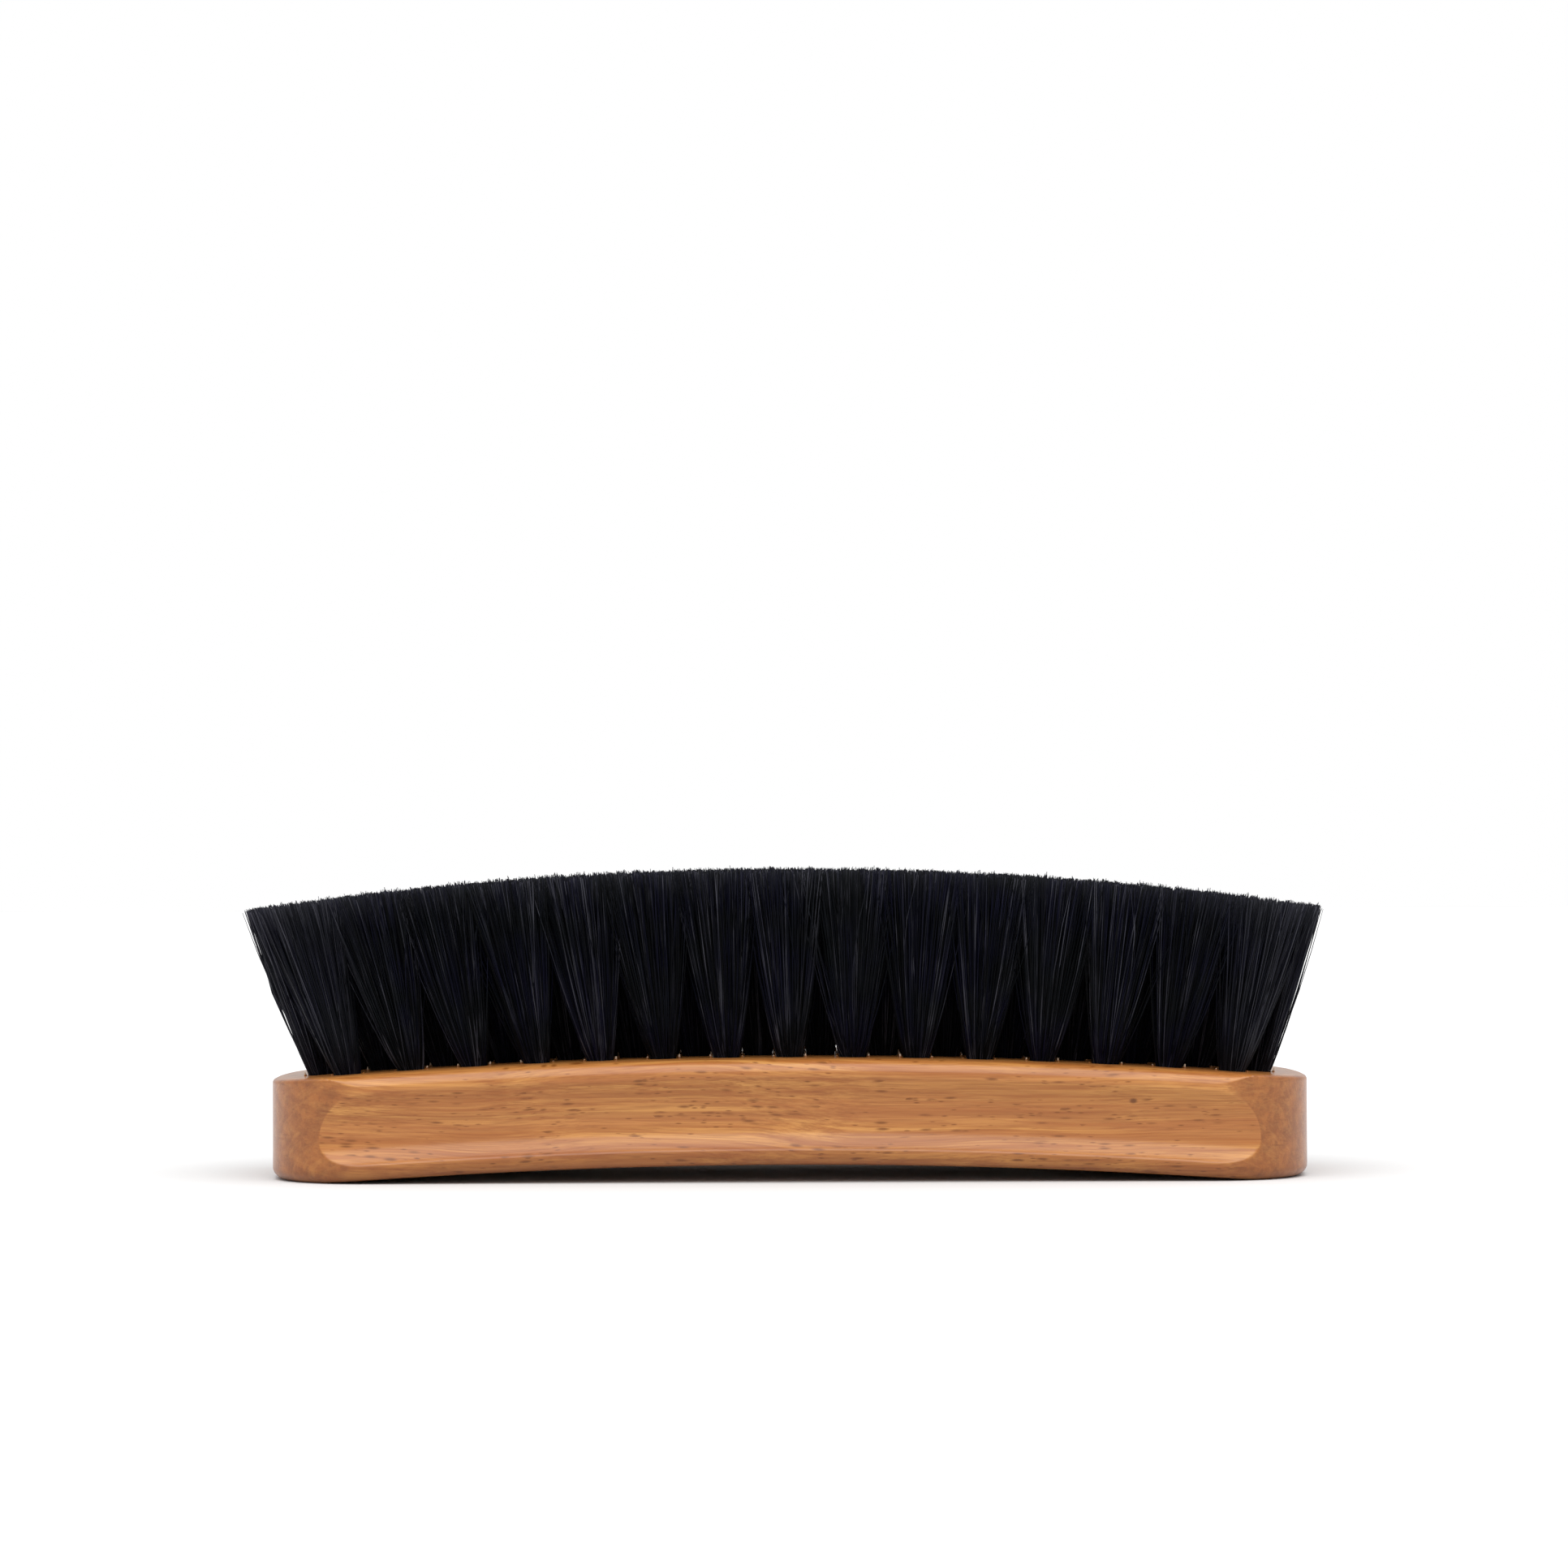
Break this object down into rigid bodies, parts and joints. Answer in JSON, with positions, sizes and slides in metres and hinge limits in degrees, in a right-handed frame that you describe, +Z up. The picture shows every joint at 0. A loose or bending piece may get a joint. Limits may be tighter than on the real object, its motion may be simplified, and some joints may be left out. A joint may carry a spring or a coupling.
{
  "type": "clothes brush",
  "caption": "Arched beech clothes brush with a finger groove along each long side and staggered tufts of black horsehair.",
  "frame": {"origin": "on the surface that the brush lies on, under the middle of the block", "axes": "+X along the block, +Y across it, +Z up, from the back of the block to the bristle tips"},
  "size_m": [0.1766, 0.0554, 0.0498],
  "materials": {
    "beech": "satin lacquered beech",
    "horsehair": "dyed black horsehair",
    "anchor_wire": "flat tinned wire, hidden in the holes"
  },
  "bodies": {
    "root": {"block": "beech", "tuft_row1_01": "horsehair", "tuft_row1_02": "horsehair", "tuft_row1_03": "horsehair", "tuft_row1_04": "horsehair", "tuft_row1_05": "horsehair", "tuft_row1_06": "horsehair", "tuft_row1_07": "horsehair", "tuft_row1_08": "horsehair", "tuft_row1_09": "horsehair", "tuft_row1_10": "horsehair", "tuft_row1_11": "horsehair", "tuft_row1_12": "horsehair", "tuft_row1_13": "horsehair", "tuft_row1_14": "horsehair", "tuft_row1_15": "horsehair", "tuft_row2_01": "horsehair", "tuft_row2_16": "horsehair", "tuft_row3_01": "horsehair", "tuft_row3_14": "horsehair", "tuft_row3_15": "horsehair", "tuft_row4_01": "horsehair", "tuft_row4_16": "horsehair", "tuft_row5_01": "horsehair", "tuft_row5_02": "horsehair", "tuft_row5_03": "horsehair", "tuft_row5_04": "horsehair", "tuft_row5_05": "horsehair", "tuft_row5_06": "horsehair", "tuft_row5_07": "horsehair", "tuft_row5_08": "horsehair", "tuft_row5_09": "horsehair", "tuft_row5_10": "horsehair", "tuft_row5_11": "horsehair", "tuft_row5_12": "horsehair", "tuft_row5_13": "horsehair", "tuft_row5_14": "horsehair", "tuft_row5_15": "horsehair", "tufts_row2_02_03": "horsehair", "tufts_row2_04_05": "horsehair", "tufts_row2_06_07": "horsehair", "tufts_row2_08_09": "horsehair", "tufts_row2_10_11": "horsehair", "tufts_row2_12_13": "horsehair", "tufts_row2_14_15": "horsehair", "tufts_row3_02_03": "horsehair", "tufts_row3_04_05": "horsehair", "tufts_row3_06_07": "horsehair", "tufts_row3_08_09": "horsehair", "tufts_row3_10_11": "horsehair", "tufts_row3_12_13": "horsehair", "tufts_row4_02_03": "horsehair", "tufts_row4_04_05": "horsehair", "tufts_row4_06_07": "horsehair", "tufts_row4_08_09": "horsehair", "tufts_row4_10_11": "horsehair", "tufts_row4_12_13": "horsehair", "tufts_row4_14_15": "horsehair"}
  },
  "joints": []
}
